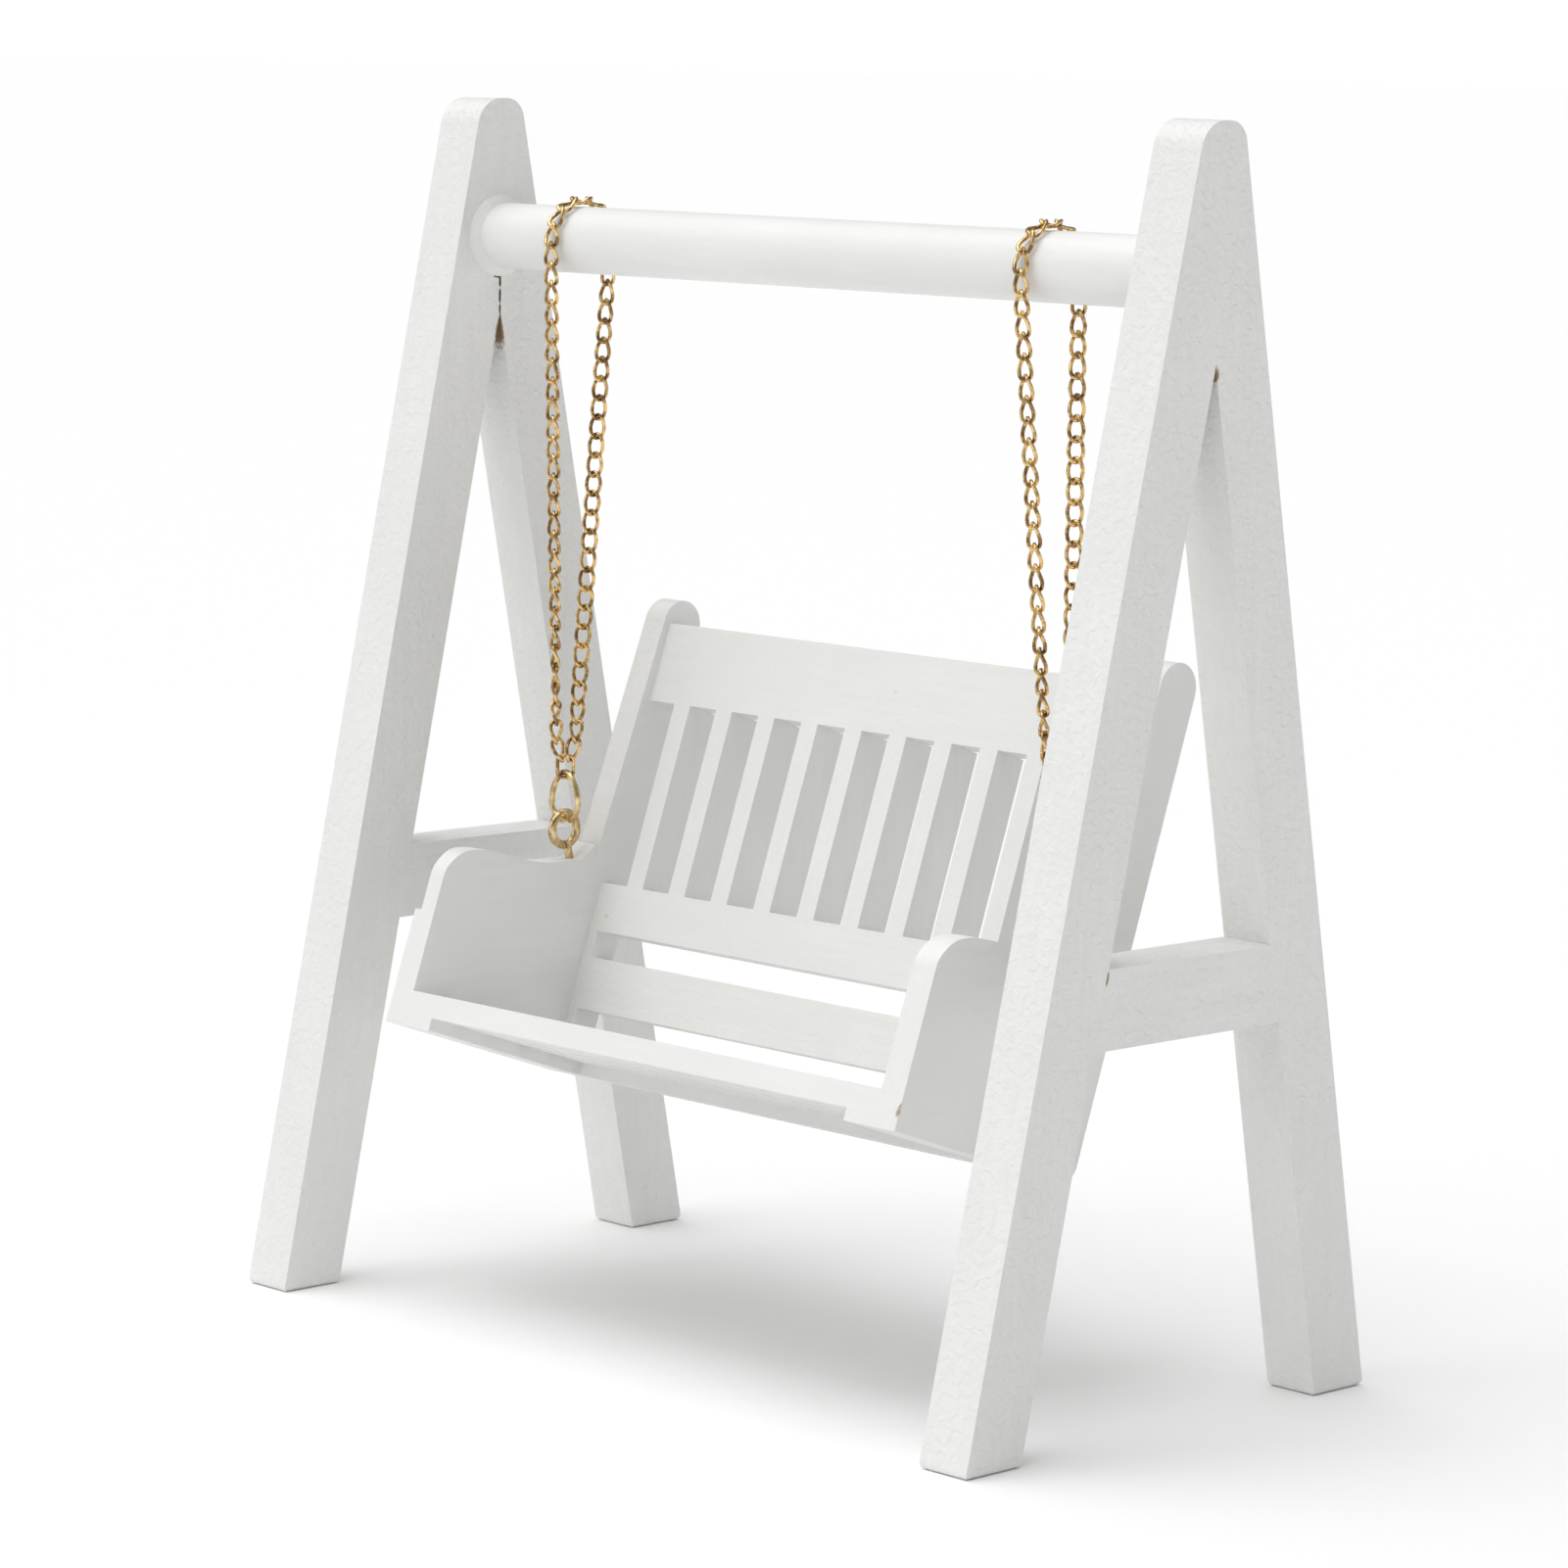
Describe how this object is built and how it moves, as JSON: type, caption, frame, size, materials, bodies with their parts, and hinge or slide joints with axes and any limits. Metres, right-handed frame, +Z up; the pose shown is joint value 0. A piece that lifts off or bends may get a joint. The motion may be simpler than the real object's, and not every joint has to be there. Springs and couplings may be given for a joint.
{
  "type": "porch swing seat",
  "caption": "Miniature white wooden porch swing: a slatted bench with arms and a leaning back, hung on brass curb chains from the round bar of a free-standing A-frame.",
  "frame": {"origin": "Centre of the stand's footprint, on the ground plane the four feet stand on.", "axes": "+X along the bench and the top bar, to the right-hand end of somebody who faces the bench; +Y to the back of the bench; +Z up."},
  "size_m": [0.1367, 0.0734, 0.16],
  "materials": {
    "back_brads": "thinly painted over",
    "back_lower_rail": "white hand-painted, satin",
    "back_mid_slat": "white hand-painted, satin",
    "back_slat_1": "white hand-painted, satin",
    "back_slat_10": "white hand-painted, satin",
    "back_slat_2": "white hand-painted, satin",
    "back_slat_3": "white hand-painted, satin",
    "back_slat_4": "white hand-painted, satin",
    "back_slat_5": "white hand-painted, satin",
    "back_slat_6": "white hand-painted, satin",
    "back_slat_7": "white hand-painted, satin",
    "back_slat_8": "white hand-painted, satin",
    "back_slat_9": "white hand-painted, satin",
    "back_top_rail": "white hand-painted, satin",
    "left_back_ledger": "white hand-painted, satin",
    "left_bar_bead": "white hand-painted, satin",
    "left_chain_over_bar": "bright brass, lightly tarnished",
    "left_cross_rail": "white hand-painted, satin",
    "left_front_chain": "bright brass, lightly tarnished",
    "left_front_leg": "white hand-painted, satin",
    "left_hanger_ring": "bright brass, lightly tarnished",
    "left_joint_link": "bright brass, lightly tarnished",
    "left_rear_chain": "bright brass, lightly tarnished",
    "left_rear_leg": "white hand-painted, satin",
    "left_screw_eye": "bright brass, lightly tarnished",
    "left_seat_ledger": "white hand-painted, satin",
    "left_side_panel": "white hand-painted, satin",
    "rear_seat_rail": "white hand-painted, satin",
    "right_back_ledger": "white hand-painted, satin",
    "right_bar_bead": "white hand-painted, satin",
    "right_chain_over_bar": "bright brass, lightly tarnished",
    "right_cross_rail": "white hand-painted, satin",
    "right_front_chain": "bright brass, lightly tarnished",
    "right_front_leg": "white hand-painted, satin",
    "right_hanger_ring": "bright brass, lightly tarnished",
    "right_joint_link": "bright brass, lightly tarnished",
    "right_rear_chain": "bright brass, lightly tarnished",
    "right_rear_leg": "white hand-painted, satin",
    "right_screw_eye": "bright brass, lightly tarnished",
    "right_seat_ledger": "white hand-painted, satin",
    "right_side_panel": "white hand-painted, satin",
    "seat_slat_1": "white hand-painted, satin",
    "seat_slat_2": "white hand-painted, satin",
    "seat_slat_3": "white hand-painted, satin",
    "seat_slat_4": "white hand-painted, satin",
    "seat_slat_5": "white hand-painted, satin",
    "top_bar": "white hand-painted, satin"
  },
  "bodies": {
    "stand": {"left_bar_bead": "left_bar_bead", "left_cross_rail": "left_cross_rail", "left_front_leg": "left_front_leg", "left_rear_leg": "left_rear_leg", "right_bar_bead": "right_bar_bead", "right_cross_rail": "right_cross_rail", "right_front_leg": "right_front_leg", "right_rear_leg": "right_rear_leg", "top_bar": "top_bar"},
    "left_chain": {"left_front_chain": "left_front_chain", "left_chain_over_bar": "left_chain_over_bar", "left_rear_chain": "left_rear_chain", "left_joint_link": "left_joint_link"},
    "left_ring": {"left_hanger_ring": "left_hanger_ring"},
    "right_chain": {"right_front_chain": "right_front_chain", "right_chain_over_bar": "right_chain_over_bar", "right_rear_chain": "right_rear_chain", "right_joint_link": "right_joint_link"},
    "right_ring": {"right_hanger_ring": "right_hanger_ring"},
    "bench": {"back_brads": "back_brads", "back_lower_rail": "back_lower_rail", "back_mid_slat": "back_mid_slat", "back_slat_1": "back_slat_1", "back_slat_10": "back_slat_10", "back_slat_2": "back_slat_2", "back_slat_3": "back_slat_3", "back_slat_4": "back_slat_4", "back_slat_5": "back_slat_5", "back_slat_6": "back_slat_6", "back_slat_7": "back_slat_7", "back_slat_8": "back_slat_8", "back_slat_9": "back_slat_9", "back_top_rail": "back_top_rail", "left_back_ledger": "left_back_ledger", "left_screw_eye": "left_screw_eye", "left_seat_ledger": "left_seat_ledger", "left_side_panel": "left_side_panel", "rear_seat_rail": "rear_seat_rail", "right_back_ledger": "right_back_ledger", "right_screw_eye": "right_screw_eye", "right_seat_ledger": "right_seat_ledger", "right_side_panel": "right_side_panel", "seat_slat_1": "seat_slat_1", "seat_slat_2": "seat_slat_2", "seat_slat_3": "seat_slat_3", "seat_slat_4": "seat_slat_4", "seat_slat_5": "seat_slat_5"}
  },
  "joints": [
    {"name": "left_chain_swing", "type": "hinge", "parent": "stand", "child": "left_chain", "pos_m": [-0.0426, 0, 0.14146], "axis": [1, 0, 0], "range_deg": [-30, 30]},
    {"name": "right_chain_swing", "type": "hinge", "parent": "stand", "child": "right_chain", "pos_m": [0.0426, 0, 0.14146], "axis": [1, 0, 0], "range_deg": [-30, 30]},
    {"name": "left_ring_pivot", "type": "hinge", "parent": "left_chain", "child": "left_ring", "pos_m": [-0.0453, 0, 0.06945], "axis": [1, 0, 0], "range_deg": [-12, 12]},
    {"name": "right_ring_pivot", "type": "hinge", "parent": "right_chain", "child": "right_ring", "pos_m": [0.0453, 0, 0.06945], "axis": [1, 0, 0], "range_deg": [-12, 12]},
    {"name": "bench_tilt", "type": "hinge", "parent": "left_ring", "child": "bench", "pos_m": [-0.0453, 0, 0.06284], "axis": [-1, 0, 0], "range_deg": [-8, 25]}
  ],
  "couplings": [
    {"joint": "right_chain_swing", "follows": "left_chain_swing", "ratio": 1},
    {"joint": "right_ring_pivot", "follows": "left_ring_pivot", "ratio": 1}
  ]
}
